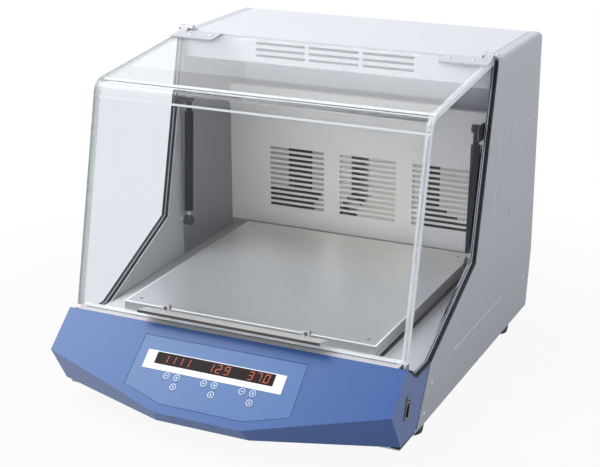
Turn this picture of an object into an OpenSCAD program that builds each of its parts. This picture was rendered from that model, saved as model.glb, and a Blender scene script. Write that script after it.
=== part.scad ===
// Incubated benchtop shaker: a warm chamber under a clear lifting hood,
// with a table that circles on an eccentric drive below the chamber floor.
// X runs to the right as seen from the front, Y to the rear and Z up.
// The origin is on the bench, under the middle of the outline.

/* [Housing] */
// Width over the two side panels
body_w = 580; // [570:1:600]
// Depth from the tip of the console to the cap of the fan motor
body_d = 750; // [742:1:765]
// Height of the side panels' top
body_h = 522; // [512:1:535]
// Depth of the flat top, front edge to rear panel
top_d = 240; // [232:1:250]
// How far the fan motor stands out behind the rear panel
cap_out = 26; // [20:1:32]
// Height of the bend in the front edge of the side panel
knee_h = 205; // [195:1:215]
// Run of the steep part of that edge, measured along Y
knee_run = 78; // [70:1:86]
// Distance from the tip of the console back to the foot of the side panels' front edge
cheek_back = 205; // [200:1:210]
// Height of the side panel's edge where it meets the console
cheek_h = 113; // [110:1:116]
// Run of the side panel's front edge below the console line
toe_run = 54; // [45:1:60]
// Height of the side panel's lower edge
toe_h = 24; // [22:1:26]
// Height where the rear leans in
heel_h = 124; // [100:1:150]
// How far the rear leans in at the bottom
heel_in = 18; // [10:1:24]
// Thickness of the sheet metal
sheet_t = 1.5; // [1:0.1:2]
// Outer radius of the side panel's top edge
edge_r = 9; // [6:1:12]
// Width of the side panel's top return
return_w = 22; // [18:1:28]
// Seam round the top cover
seam = 1; // [0.5:0.1:1.5]
// Depth of the pressed grooves in the side panels
groove_t = 0.7; // [0.4:0.1:0.9]
// Width of the pressed grooves
groove_w = 5; // [3:1:8]

/* [Chamber] */
// Thickness of the insulated side wall
wall_t = 10; // [9:0.5:12]
// Height of the chamber floor
deck_h = 116; // [115:0.5:117]
// Height of the header, from the chamber's ceiling to the top
header_h = 47; // [40:1:57]
// Front face of the louvred wall, measured from the rear panel
duct_d = 74; // [66:1:80]
// Height of the recess above the louvred wall
recess_h = 87; // [75:1:100]
// Gap between the chamber's rear skin and the rear panel
rear_gap = 13; // [11:1:16]
// Louvre slots in each group
slot_count = 12; // [8:1:13]
// Length of a louvre slot
slot_w = 110; // [90:1:120]
// Height of a louvre slot
slot_h = 5.4; // [3:0.1:6]
// Distance from one louvre slot to the next
slot_pitch = 9.9; // [8:0.1:10.5]
// Distance between the middles of two louvre groups
group_pitch = 142; // [130:1:150]
// Height of the lowest louvre slot
slot_z = 167; // [150:1:175]
// Width of a vent slot in the header
vent_w = 91; // [80:1:94]
// Height of a vent slot in the header
vent_h = 4.5; // [3:0.5:6]

/* [Console] */
// Height of the console's rear edge
console_h = 142; // [140:0.5:144]
// Distance from the tip back to the console's rear edge
console_run = 109; // [104:1:114]
// Height of the console's tip
tip_h = 49; // [45:1:55]
// Width of the flat middle facet
facet_w = 144; // [120:1:170]
// Distance from the tip back to the side corners
corner_back = 50; // [42:1:58]
// Height of the console's lower edge
skirt_h = 28; // [26:1:30]
// How far the middle facet leans in at its lower edge
undercut = 15; // [10:1:20]
// How far the side corner leans in at its lower edge
side_undercut = 38; // [30:1:42]
// Wall of the moulded casing
casing_t = 3.5; // [3.3:0.1:4]
// Half the width of the keypad's rear edge
pad_w = 138; // [130:1:145]
// Thickness of the keypad
pad_t = 1; // [0.8:0.1:1.2]
// Width of the white display surround
display_w = 236; // [225:1:245]
// Diameter of a key
key_d = 11.6; // [10:0.2:12]
// Travel of a key
key_travel = 0.5; // [0.3:0.1:0.6]
// Length of the power switch's bezel
switch_len = 36; // [32:1:40]

/* [Hood] */
// Thickness of the clear sheet
hood_t = 8; // [6:0.5:9]
// How far the hood's sides stand in from the side panels
hood_set = 7; // [6:0.5:9]
// Outer radius of the bend between top and front
bend_r = 25; // [18:1:32]
// How far the hood's top front corner lies below the top
hood_drop = 29; // [17:1:42]
// How far the hood's lower edge stands behind the console's rear edge
hood_back = 12.5; // [12:0.5:14]
// Lean of the front panel along Y, top to bottom
hood_lean = 82; // [76:1:84]
// Thickness of the rubber seal
seal_t = 4.5; // [3.5:0.5:5]
// Opening angle of the hood
hood_open = 70; // [55:1:75]
// Length of the grip rail
grip_w = 311; // [250:1:360]
// How far the grip rail stands out
grip_out = 28; // [22:1:32]

/* [Hinges and struts] */
// Diameter of the hinge pin
pin_d = 4; // [3:0.5:5]
// Diameter of the hinge knuckles
knuckle_d = 9; // [8:0.5:10]
// Width of the hinge leaf on the hood
leaf_w = 80; // [60:1:95]
// Depth of the hinge leaf on the hood
leaf_d = 38; // [30:1:45]
// Diameter of the gas strut's cylinder
strut_d = 15.5; // [13:0.5:16]
// Diameter of the gas strut's rod
rod_d = 8; // [6:0.5:9]
// Distance of the struts from the chamber's side walls
strut_set = 19; // [18:0.5:22]
// Depth of the strut's lower pivot below the top
strut_low_drop = 335; // [327:1:342]
// Depth of the strut's upper pivot below the top
strut_top_drop = 111; // [104:1:117]

/* [Shaker drive] */
// Gap in front of and behind the square table at the middle of its path
table_gap = 38; // [34:1:48]
// Height of the table's top
table_h = 140; // [139:0.5:141]
// Thickness of the table plate
table_t = 3; // [2:0.5:4]
// Height of the table's apron
apron_h = 20; // [17:0.5:21]
// Radius of the table's circular path
orbit_r = 10; // [8:0.5:11]
// Direction of the crank at rest, from +X towards +Y
crank_angle = 130; // [0:5:355]
// How far the drive axis lies ahead of the chamber's middle
drive_ahead = 5; // [0:1:10]
// Distance of the table's fixing holes from its edges
hole_set = 20; // [15:1:30]
// Diameter of the table's fixing holes
hole_d = 5.5; // [4:0.5:7]
// Diameter of the drive shaft
shaft_d = 20; // [18:1:22]
// Diameter of the eccentric pin
crank_pin_d = 15; // [12:1:16]
// Diameter of the large pulley at the belt
big_pulley_d = 120; // [105:3:126]
// Diameter of the motor pulley at the belt
small_pulley_d = 40; // [35:1:42]
// Diameter of the idler cranks' pins
idler_pin_d = 10; // [8:0.5:12]
// Diameter of the drive motor
motor_d = 90; // [80:1:96]
// Thickness of the drive plate
plate_t = 6; // [5:0.5:7]

/* [Air circulation] */
// Diameter of the fan wheel
fan_d = 150; // [130:2:160]
// Blades on the fan wheel
fan_blades = 24; // [16:2:30]
// Height of the fan axis
fan_h = 230; // [215:1:245]
// Diameter of the heater tube
heater_d = 8; // [6:0.5:9]

/* [Base] */
// Height of a rubber foot
foot_h = 18; // [16:1:20]
// Diameter of a rubber foot
foot_d = 44; // [36:1:50]
// Distance of the feet's middles from the side panels
foot_set = 28; // [26:1:45]

/* [Hidden] */
$fn = 64;
run_gap = 0.05;
slide_gap = 0.32;
near_gap = 0.5;
// Width of a straight strip as a share of the round end that it runs into
strip_share = 0.98;

half_w = body_w / 2;
tip_y = -body_d / 2;
rear_y = body_d / 2 - cap_out;
front_y = rear_y - top_d;
knee_y = front_y - knee_run;
cheek_y = tip_y + cheek_back;
toe_y = cheek_y - toe_run;
heel_y = rear_y - heel_in;
liner_x = half_w - wall_t;
liner_rear_y = rear_y - rear_gap;
louvre_y = rear_y - duct_d;
roof_h = body_h - header_h;
louvre_wall_h = roof_h - recess_h;

// Console lines, all along Y and Z
sill_y = tip_y + console_run;
slope_a = atan2(console_h - tip_h, console_run);
slope_len = norm([console_h - tip_h, console_run]);
corner_y = tip_y + corner_back;
corner_z = tip_h + corner_back * tan(slope_a);
console_half = half_w - 1;
lip_y = cheek_y - 58;
sill_inner_y = sill_y + 25;

// Hood lines
hinge_y = front_y + 1;
hinge_z = body_h + knuckle_d / 2 + near_gap;
hood_rear_y = front_y - near_gap;
hood_front_h = body_h - hood_drop;
hood_bottom_y = sill_y + hood_back;
hood_top_y = hood_bottom_y + hood_lean;
hood_bottom_z = console_h + 1.6;
hood_half = half_w - hood_set;
hood_slope = atan2(hood_drop, hood_rear_y - hood_top_y);
front_lean = atan2(hood_lean, hood_front_h - hood_bottom_z);

// Gas struts: lower pivot on the wall, upper pivot on the hood
strut_x = liner_x - strut_set;
strut_low = [front_y - 34, body_h - strut_low_drop];
strut_top = [front_y - 20, body_h - strut_top_drop];
strut_len = norm(strut_top - strut_low);
strut_lean = atan2(strut_top[0] - strut_low[0], strut_top[1] - strut_low[1]);
function opened(p, a) = let(q = p - [hinge_y, hinge_z])
  [hinge_y + q[0] * cos(a) + q[1] * sin(a), hinge_z - q[0] * sin(a) + q[1] * cos(a)];
strut_top_open = opened(strut_top, hood_open);
strut_len_open = norm(strut_top_open - strut_low);
strut_stroke = strut_len_open - strut_len;
guide_t = 12;
piston_t = 8;
barrel_z0 = 19;
barrel_z1 = strut_len - 26;
barrel_bore = strut_d - 3;

// Table and drive
table_w = louvre_y - sill_inner_y - 2 * table_gap;
hole_pitch = table_w - 2 * hole_set;
drive_y = (louvre_y + sill_inner_y) / 2 - drive_ahead;
foot_x = half_w - foot_set;

// Drive levels from the base upwards
pan_z = foot_h;
pan_t = 2;
pan_top = pan_z + pan_t;
plate_z = 84;
plate_top = plate_z + plate_t;
crank_z = plate_top + 3;
crank_t = 10;
crank_top = crank_z + crank_t;
pulley_z = 30;
pulley_h = 12;
housing_z = pulley_z + pulley_h + 4;
bearing_od = 2 * shaft_d + 7;
bearing_h = 14;
crank_off = [orbit_r * cos(crank_angle), orbit_r * sin(crank_angle)];
drive_at = [0, drive_y];
table_at = drive_at + crank_off;
idlers = [[-150, -110], [150, -110], [0, 150]];
motor_at = [150, 120];
belt_t = 1.6;
belt_step = 0.02;
carrier_t = 6;
carrier_z = table_h - table_t - carrier_t;
hub_z = deck_h + 1.6;
table_bearing_od = crank_pin_d + 20;

// Extrudes a Y-Z profile along X
module along_x(x0, x1) {
  translate([x0, 0, 0])
    rotate([90, 0, 90])
      linear_extrude(x1 - x0)
        children();
}

// Extrudes an X-Z profile along Y
module along_y(y0, y1) {
  translate([0, y1, 0])
    rotate([90, 0, 0])
      linear_extrude(y1 - y0)
        children();
}

// A box given by its lowest and highest corners
module box(a, b) {
  translate(a)
    cube(b - a);
}

// Round bars along X and along Y
module bar_x(x0, x1, y, z, d) {
  translate([x0, y, z])
    rotate([0, 90, 0])
      cylinder(h = x1 - x0, d = d);
}

module bar_y(x, z, y0, y1, d) {
  translate([x, y0, z])
    rotate([-90, 0, 0])
      cylinder(h = y1 - y0, d = d);
}

// A dome headed screw whose head stands on a face that looks along +Z
module screw(head_d, shank_d, shank_l) {
  difference() {
    union() {
      intersection() {
        cylinder(h = head_d * 0.3, d = head_d);
        translate([0, 0, -head_d * 0.42])
          sphere(d = head_d * 1.5);
      }
      translate([0, 0, -shank_l])
        cylinder(h = shank_l, d = shank_d);
    }
    translate([0, 0, head_d * 0.12])
      cylinder(h = head_d, d = head_d * 0.45, $fn = 6);
  }
}

// Paths in the Y-Z plane, shifted sideways with mitred corners
function unit(v) = v / norm(v);
function left_of(v) = [-v[1], v[0]];
function seg(p, i) = unit(p[i + 1] - p[i]);
function before(p, i) = left_of(seg(p, max(i - 1, 0)));
function after(p, i) = left_of(seg(p, min(i, len(p) - 2)));
function shift_at(p, i, d) = p[i] + (before(p, i) + after(p, i)) * d / (1 + before(p, i) * after(p, i));
function shifted(p, d) = [for (i = [0 : len(p) - 1]) shift_at(p, i, d)];
function turned(p) = [for (i = [len(p) - 1 : -1 : 0]) p[i]];
function band(p, d0, d1) = concat(shifted(p, d0), turned(shifted(p, d1)));

side_outline = [[toe_y, toe_h], [cheek_y, cheek_h], [knee_y, knee_h], [front_y, body_h],
  [rear_y, body_h], [rear_y, heel_h], [heel_y, toe_h]];
// The line on which the hood closes, from the top to the console
cheek_rise = (console_h - cheek_h) / (lip_y - sill_y);
seal_end_y = hood_bottom_y + 1;
closing_line = [[front_y, body_h], [knee_y, knee_h], [cheek_y, cheek_h], [lip_y, cheek_h],
  [seal_end_y, cheek_h + (lip_y - seal_end_y) * cheek_rise]];

// Housing

// Outer sheet of the right side, with its rounded top return and pressed grooves
module side_panel() {
  color([0.67, 0.68, 0.72])
    difference() {
      intersection() {
        along_x(0, half_w + 1)
          polygon(side_outline);
        union() {
          box([half_w - sheet_t, toe_y, 0], [half_w, rear_y, body_h - edge_r]);
          along_y(toe_y, rear_y)
            translate([half_w - edge_r, body_h - edge_r])
              intersection() {
                difference() {
                  circle(edge_r);
                  circle(edge_r - sheet_t);
                }
                square(edge_r);
              }
          box([half_w - return_w, toe_y, body_h - sheet_t], [half_w - edge_r, rear_y, body_h]);
        }
      }
      along_x(half_w - groove_t, half_w + 1) {
        for (i = [0 : 2])
          groove([[front_y + 34 + i * 41, body_h - 115 - i * 2], [front_y + 5 + i * 41, body_h - 278 - i * 7]]);
        groove([[knee_y + 155, 93], [knee_y - 95, 93], [knee_y - 103, 84]]);
      }
      for (p = side_screws) {
        bar_x(half_w - 2 * sheet_t, half_w + 1, p[0], p[1], 4.2);
        bar_x(half_w - groove_t, half_w + 1, p[0], p[1], side_head_d + 2 * slide_gap);
      }
    }
}

// One groove with round ends and corners along a line of points
module groove(points) {
  for (i = [0 : len(points) - 2]) {
    run = points[i + 1] - points[i];
    translate(points[i])
      rotate(atan2(run[1], run[0]))
        translate([0, -groove_w * strip_share / 2])
          square([norm(run), groove_w * strip_share]);
  }
  for (p = points)
    translate(p)
      circle(d = groove_w);
}

side_head_d = 5.4;
side_screws = [[rear_y - 55, body_h - 142], [rear_y - 40, 86], [cheek_y + 8, 80], [cheek_y - 24, 42]];

module right_side_panel() {
  side_panel();
}

module left_side_panel() {
  mirror([1, 0, 0])
    side_panel();
}

cover_half = half_w - return_w - seam;

module top_cover() {
  color([0.93, 0.94, 0.96])
    difference() {
      box([-cover_half, front_y, body_h - 10], [cover_half, rear_y - sheet_t - near_gap, body_h]);
      box([-cover_half + sheet_t, front_y + sheet_t, body_h - 11],
        [cover_half - sheet_t, rear_y - 2 * sheet_t - near_gap, body_h - sheet_t]);
      box([-cover_half - 1, front_y - 1, body_h - 11], [cover_half + 1, front_y + 3, body_h - 5]);
    }
}

rear_line = [[rear_y, body_h - sheet_t], [rear_y, heel_h], [heel_y, toe_h]];
inlet_at = [170, 78];
vent_x = half_w - 100;
rear_slot_w = 100;

module rear_panel() {
  color([0.67, 0.68, 0.72])
    difference() {
      along_x(-half_w + sheet_t, half_w - sheet_t)
        polygon(band(rear_line, 0, -sheet_t));
      bar_y(0, fan_h, rear_y - 5, rear_y + 5, fan_case_d + 2);
      on_heel(inlet_at)
        translate([-14.6, -11, -10])
          cube([29.2, 22, 20]);
      for (s = [-1, 1])
        for (i = [0 : 7])
          translate([s * vent_x - rear_slot_w / 2, rear_y - 5, body_h - 132 + i * 12])
            cube([rear_slot_w, 10, 5]);
      for (s = [0, 1])
        mirror([s, 0, 0])
          along_y(rear_y - 5, rear_y + 5)
            translate([half_w - edge_r, body_h - edge_r])
              difference() {
                square(edge_r + 1);
                circle(edge_r - sheet_t - near_gap);
              }
    }
}

// Floor tray with its tongue under the console
module base_pan() {
  pan_half = half_w - 5;
  pan_front = tip_y + 95;
  color([0.35, 0.36, 0.4])
    difference() {
      union() {
        box([-pan_half, pan_front, pan_z], [pan_half, heel_y - 3, pan_top]);
        for (s = [0, 1])
          mirror([s, 0, 0])
            box([pan_half - sheet_t, toe_y + 6, pan_top], [pan_half, heel_y - 3, pan_top + 25]);
        box([-pan_half, heel_y - 3 - sheet_t, pan_top], [pan_half, heel_y - 3, pan_top + 10]);
        box([-pan_half + 15, pan_front, pan_top], [pan_half - 15, pan_front + sheet_t, skirt_h + pan_t]);
        intersection() {
          console_block(casing_t + near_gap, 5);
          box([-half_w, tip_y, skirt_h], [half_w, pan_front + sheet_t, skirt_h + pan_t]);
        }
      }
      for (p = foot_places)
        translate([p[0], p[1], 0])
          cylinder(h = 40, d = 6.4);
      for (s = [0, 1])
        mirror([s, 0, 0])
          for (p = side_screws)
            bar_x(pan_half - 3, pan_half + 1, p[0], p[1], 4.2);
    }
}

front_foot_y = cheek_y - 8;
rear_foot_y = rear_y - 100;
foot_places = [for (y = [front_foot_y, rear_foot_y]) for (x = [-foot_x, foot_x]) [x, y]];

module rubber_feet() {
  color([0.08, 0.08, 0.09])
    for (p = foot_places)
      translate([p[0], p[1], 0])
        difference() {
          union() {
            cylinder(h = 3, d1 = foot_d - 6, d2 = foot_d - 4);
            translate([0, 0, 3])
              cylinder(h = foot_h - 3, d1 = foot_d - 4, d2 = foot_d);
          }
          translate([0, 0, 6])
            cylinder(h = foot_h, d = 6);
          translate([0, 0, -1])
            cylinder(h = 7, d = 14);
        }
}

// Screws that hold the side panels, the header and the feet
module housing_screws() {
  color([0.75, 0.75, 0.78]) {
    for (s = [0, 1])
      mirror([s, 0, 0])
        for (p = side_screws)
          translate([half_w - groove_t, p[0], p[1]])
            rotate([0, 90, 0])
              screw_flush();
    for (x = header_screw_x)
      translate([x, front_y, header_screw_z])
        rotate([90, 0, 0])
          screw(5, 3.4, 6);
    for (p = foot_places)
      translate([p[0], p[1], 4]) {
        cylinder(h = 2, d = 12);
        cylinder(h = foot_h + 4, d = 5.4);
      }
  }
}

// A screw sunk to the panel's face
module screw_flush() {
  difference() {
    union() {
      cylinder(h = groove_t, d = side_head_d);
      translate([0, 0, -7])
        cylinder(h = 7, d = 3.4);
    }
    translate([0, 0, 0.2])
      cylinder(h = 4, d = 2, $fn = 6);
  }
}

// Chamber

flange_in = 4;

// Inner skin of the right wall, with the edge flange, the strut's backing plate and the ball stud
module side_liner() {
  color([0.72, 0.72, 0.73]) {
    intersection() {
      along_x(liner_x, liner_x + sheet_t)
        polygon(side_outline);
      box([0, cheek_y + 5, deck_h - sheet_t], [half_w, liner_rear_y, roof_h + sheet_t]);
    }
    intersection() {
      along_x(liner_x - flange_in, half_w - sheet_t)
        polygon(band(closing_line, 0, sheet_t));
      box([0, cheek_y + 1, 0], [half_w, rear_y, body_h - edge_r]);
    }
    intersection() {
      along_x(liner_x - 2, liner_x)
        polygon(side_outline);
      box([0, cheek_y + 20, deck_h + 1], [half_w, strut_low[0] + 9, roof_h]);
    }
    bar_x(liner_x - 11, liner_x, strut_low[0], strut_low[1], 12);
    bar_x(strut_x - 6, liner_x, strut_low[0], strut_low[1], 8);
  }
}

module right_liner() {
  side_liner();
}

module left_liner() {
  mirror([1, 0, 0])
    side_liner();
}

liner_half = liner_x - near_gap;

// Roof and rear skin, one folded sheet
module upper_liner() {
  color([0.75, 0.74, 0.72])
    difference() {
      union() {
        box([-liner_half, front_y + 2 * sheet_t, roof_h],
          [liner_half, liner_rear_y, roof_h + sheet_t]);
        box([-liner_half, liner_rear_y - sheet_t, deck_h], [liner_half, liner_rear_y, roof_h]);
      }
      bar_y(0, fan_h, louvre_y, rear_y, 16);
    }
}

header_low = roof_h - sheet_t - near_gap;
header_screw_x = [18, 112];
header_screw_z = header_low + 6;

module header_panel() {
  color([0.86, 0.87, 0.9])
    difference() {
      union() {
        box([-liner_half, front_y, header_low], [liner_half, front_y + sheet_t, body_h - 5 - near_gap]);
        box([-liner_half, front_y, header_low], [liner_half, front_y + 15, header_low + sheet_t]);
      }
      for (g = [-1 : 1])
        for (i = [0 : 2])
          translate([g * (vent_w + 7) - vent_w / 2 + 4, front_y - 1, header_low + 10 + i * 10.5])
            cube([vent_w, sheet_t + 2, vent_h]);
      for (x = header_screw_x)
        bar_y(x, header_screw_z, front_y - 1, front_y + 4, 3.8);
    }
}

floor_lip_h = 13;
sill_half = hood_half - hood_t - near_gap;

module louvre_panel() {
  color([0.8, 0.79, 0.77])
    difference() {
      union() {
        box([-liner_half, louvre_y, deck_h + floor_lip_h + near_gap],
          [liner_half, louvre_y + sheet_t, louvre_wall_h]);
        box([-liner_half, louvre_y, louvre_wall_h - sheet_t], [liner_half, louvre_y + 14, louvre_wall_h]);
      }
      for (g = [-1 : 1])
        for (i = [0 : slot_count - 1])
          translate([g * group_pitch - slot_w / 2, louvre_y - 1, slot_z + i * slot_pitch])
            cube([slot_w, sheet_t + 2, slot_h]);
    }
}

// Floor sheet, folded up at the rear to meet the louvred wall and at the front into the sill
module chamber_floor() {
  color([0.8, 0.8, 0.82])
    difference() {
      union() {
        box([-liner_half, sill_inner_y - sheet_t, deck_h - sheet_t],
          [liner_half, liner_rear_y - sheet_t - near_gap, deck_h]);
        box([-liner_half, louvre_y, deck_h], [liner_half, louvre_y + sheet_t, deck_h + floor_lip_h]);
        box([-sill_half, sill_inner_y - sheet_t, deck_h], [sill_half, sill_inner_y, console_h]);
        box([-sill_half, sill_y + near_gap, console_h - sheet_t], [sill_half, sill_inner_y, console_h]);
      }
      for (s = [0, 1])
        mirror([s, 0, 0])
          along_x(liner_x - flange_in - near_gap, half_w)
            polygon(band(closing_line, -near_gap, sheet_t + near_gap));
      translate([drive_at[0], drive_at[1], deck_h - 5])
        cylinder(h = 10, d = crank_pin_d + 2 * orbit_r + 8);
      for (p = idlers)
        translate([drive_at[0] + p[0], drive_at[1] + p[1], deck_h - 5])
          cylinder(h = 10, d = idler_pin_d + 2 * orbit_r + 8);
    }
}

// Rubber seals: one along each side's closing line and one along the sill
module hood_seals() {
  color([0.05, 0.05, 0.06]) {
    for (s = [0, 1])
      mirror([s, 0, 0])
        intersection() {
          along_x(liner_x + 0.2, half_w - near_gap)
            polygon(band(closing_line, 0, -seal_t));
          box([0, seal_end_y, deck_h - sheet_t], [half_w, front_y - 2, body_h - 1]);
        }
    box([-liner_x + 14, hood_bottom_y + 1.5, console_h],
      [liner_x - 14, hood_bottom_y + 6.5, console_h + 1.2]);
  }
}

// Shaker drive

frame_half = half_w - 40;

module drive_frame() {
  color([0.45, 0.47, 0.5])
    difference() {
      union() {
        box([-frame_half, drive_y - 175, plate_z], [frame_half, drive_y + 200, plate_top]);
        for (x = [15 - frame_half, frame_half - 15])
          for (y = [-160, 185])
            translate([x, drive_y + y, pan_top])
              cylinder(h = deck_h - sheet_t - pan_top, d = 20);
      }
      translate([0, drive_y, plate_z - 1])
        cylinder(h = 20, d = shaft_d + 14);
      for (p = idlers)
        translate([p[0], drive_y + p[1], plate_z - 1])
          cylinder(h = 20, d = 20);
    }
}

idler_low_z = 58;

// Main bearing housing and the three idler housings, all hung below the drive plate
module bearing_housings() {
  color([0.6, 0.61, 0.63]) {
    translate([0, drive_y, 0])
      difference() {
        union() {
          translate([0, 0, housing_z])
            cylinder(h = plate_z - housing_z, d = bearing_od + 17);
          translate([0, 0, plate_z - 7])
            cylinder(h = 7, d = bearing_od + 50);
        }
        translate([0, 0, housing_z - 1])
          cylinder(h = plate_z, d = bearing_od - 6);
        translate([0, 0, housing_z + 2])
          cylinder(h = bearing_h, d = bearing_od);
        translate([0, 0, housing_z - 1])
          cylinder(h = 4, d = bearing_od);
        translate([0, 0, plate_z - bearing_h])
          cylinder(h = bearing_h + 1, d = bearing_od);
      }
    for (p = idlers)
      translate([p[0], drive_y + p[1], 0])
        difference() {
          union() {
            translate([0, 0, idler_low_z])
              cylinder(h = plate_z - idler_low_z, d = 32);
            translate([0, 0, plate_z - 5])
              cylinder(h = 5, d = 52);
          }
          translate([0, 0, idler_low_z + 3])
            cylinder(h = plate_z, d = idler_pin_d + 2 + 2 * run_gap);
        }
  }
}

module bearing(z, bore, od, h) {
  translate([0, 0, z])
    difference() {
      cylinder(h = h, d = od - 2 * run_gap);
      translate([0, 0, -1])
        cylinder(h = h + 2, d = bore + 2 * run_gap);
      for (f = [-0.1, h - 0.9])
        translate([0, 0, f])
          difference() {
            cylinder(h = 1, d = od - 6);
            cylinder(h = 1, d = bore + 6);
          }
    }
}

module shaft_bearings() {
  color([0.8, 0.8, 0.82])
    translate([0, drive_y, 0]) {
      bearing(housing_z + 2, shaft_d, bearing_od, bearing_h);
      bearing(plate_z - bearing_h, shaft_d, bearing_od, bearing_h);
    }
}

// Shaft with its crank disc, eccentric pin and balance weight
module drive_shaft() {
  color([0.62, 0.63, 0.66])
    translate([0, drive_y, 0]) {
      translate([0, 0, pulley_z - 3])
        cylinder(h = crank_z - pulley_z + 4, d = shaft_d);
      translate([0, 0, plate_z + near_gap])
        cylinder(h = crank_z - plate_z, d = shaft_d + 7);
      translate([0, 0, crank_z])
        linear_extrude(crank_t) {
          circle(d = 66);
          rotate(crank_angle + 180)
            intersection() {
              circle(88);
              polygon([[2, 0], [90, -62], [90, 62]]);
            }
        }
      translate([crank_off[0], crank_off[1], crank_top - 1])
        cylinder(h = hub_z + 15 - crank_top, d = crank_pin_d);
    }
}

module pulley(at, d, bore) {
  translate([at[0], at[1], pulley_z])
    difference() {
      union() {
        cylinder(h = pulley_h, d = d);
        cylinder(h = 1.5, d = d + 5);
        translate([0, 0, pulley_h - 1.5])
          cylinder(h = 1.5, d = d + 5);
      }
      translate([0, 0, -1])
        cylinder(h = pulley_h + 2, d = bore);
    }
}

module drive_pulley() {
  color([0.75, 0.76, 0.78])
    difference() {
      pulley(drive_at, big_pulley_d, shaft_d);
      for (a = [0 : 60 : 300])
        translate([0, drive_y, pulley_z - 1])
          rotate(a)
            translate([big_pulley_d / 4 + 4, 0, 0])
              cylinder(h = pulley_h + 2, d = big_pulley_d / 6);
    }
}

motor_xy = drive_at + motor_at;
motor_z = pulley_z + pulley_h + 3;

module drive_motor() {
  color([0.2, 0.2, 0.22])
    translate([motor_xy[0], motor_xy[1], 0])
      difference() {
        union() {
          translate([0, 0, motor_z])
            cylinder(h = plate_z - motor_z, d = motor_d);
          translate([0, 0, plate_z - 4])
            cylinder(h = 4, d = motor_d + 16);
        }
        for (a = [0 : 20 : 340])
          rotate(a)
            translate([motor_d / 2, 0, motor_z + 5])
              cylinder(h = 22, d = 5);
        translate([0, 0, motor_z - 1])
          cylinder(h = 26, d = 8 + 2 * run_gap);
      }
}

// Motor pulley with the motor's shaft in it
module motor_pulley() {
  color([0.75, 0.76, 0.78]) {
    pulley(motor_xy, small_pulley_d, 7);
    translate([motor_xy[0], motor_xy[1], pulley_z])
      cylinder(h = pulley_h, d = 7);
    translate([motor_xy[0], motor_xy[1], pulley_z + pulley_h])
      cylinder(h = 24, d = 8);
  }
}

// Outline round both pulleys at a given distance from their rims
module belt_outline(grow) {
  r1 = big_pulley_d / 2 + grow;
  r2 = small_pulley_d / 2 + grow;
  reach = norm(motor_at);
  side = acos((r1 - r2) / reach);
  rotate(atan2(motor_at[1], motor_at[0])) {
    circle(r1);
    translate([reach, 0])
      circle(r2);
    up = [cos(side), sin(side)];
    down = [cos(side), -sin(side)];
    polygon([(r1 + belt_step) * up, (r1 + belt_step) * down,
      [reach, 0] + (r2 + belt_step) * down, [reach, 0] + (r2 + belt_step) * up]);
  }
}

module drive_belt() {
  color([0.07, 0.07, 0.07])
    translate([0, drive_y, pulley_z + 2])
      linear_extrude(pulley_h - 4)
        difference() {
          belt_outline(slide_gap + belt_t);
          belt_outline(slide_gap);
        }
}

module idler_crank(p) {
  color([0.62, 0.63, 0.66])
    translate([p[0], drive_y + p[1], 0]) {
      translate([0, 0, idler_low_z + 3 + slide_gap])
        cylinder(h = crank_z - idler_low_z - 2 - slide_gap, d = idler_pin_d + 2);
      translate([0, 0, crank_z])
        cylinder(h = crank_t, d = 44);
      translate([crank_off[0], crank_off[1], crank_top - 1])
        cylinder(h = carrier_z + carrier_t - 2 - crank_top, d = idler_pin_d);
    }
}

// Cast carrier under the table plate, with the main bearing in its hub
module table_carrier() {
  color([0.55, 0.56, 0.58])
    translate([table_at[0], table_at[1], 0]) {
      difference() {
        union() {
          translate([0, 0, carrier_z])
            linear_extrude(carrier_t) {
              for (p = idlers)
                arm(p, 40);
              for (s = [[-1, -1], [1, -1], [-1, 1], [1, 1]])
                arm(s * (hole_pitch / 2 - 24), 30);
            }
          for (p = idlers)
            translate([p[0], p[1], hub_z])
              cylinder(h = carrier_z + carrier_t - hub_z, d = idler_pin_d + 20);
          translate([0, 0, hub_z])
            cylinder(h = carrier_z + carrier_t - hub_z, d = table_bearing_od + 17);
          translate([0, 0, hub_z])
            cylinder(h = 1.4, d = 90);
        }
        for (p = idlers)
          translate([p[0], p[1], hub_z - 1])
            cylinder(h = carrier_t + carrier_z - hub_z, d = idler_pin_d + 2 * run_gap);
        translate([0, 0, hub_z - 1])
          cylinder(h = carrier_z + carrier_t - hub_z - 3, d = table_bearing_od);
      }
      bearing(hub_z + 2, crank_pin_d, table_bearing_od, 11);
    }
}

// A flat arm from the hub to a point, with a round end
module arm(p, w) {
  rotate(atan2(p[1], p[0]))
    translate([0, -w * strip_share / 2])
      square([norm(p), w * strip_share]);
  translate(p)
    circle(d = w);
}

module table_plate() {
  half = table_w / 2;
  color([0.78, 0.8, 0.82])
    translate([table_at[0], table_at[1], 0])
      difference() {
        box([-half, -half, table_h - apron_h], [half, half, table_h]);
        box([-half + 2, -half + 2, table_h - apron_h - 1], [half - 2, half - 2, table_h - table_t]);
        for (s = [[-1, -1], [1, -1], [-1, 1], [1, 1]])
          translate([s[0] * hole_pitch / 2, s[1] * hole_pitch / 2, table_h - 10])
            cylinder(h = 20, d = hole_d);
      }
}

// Air circulation

fan_case_d = 70;

module fan_motor() {
  color([0.16, 0.16, 0.18])
    difference() {
      union() {
        bar_y(0, fan_h, liner_rear_y, rear_y + cap_out - 6, fan_case_d);
        bar_y(0, fan_h, rear_y + cap_out - 6, rear_y + cap_out, fan_case_d - 12);
        bar_y(0, fan_h, liner_rear_y, liner_rear_y + 3, fan_case_d + 24);
      }
      bar_y(0, fan_h, liner_rear_y - 1, liner_rear_y + 20, 8 + 2 * run_gap);
    }
}

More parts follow.
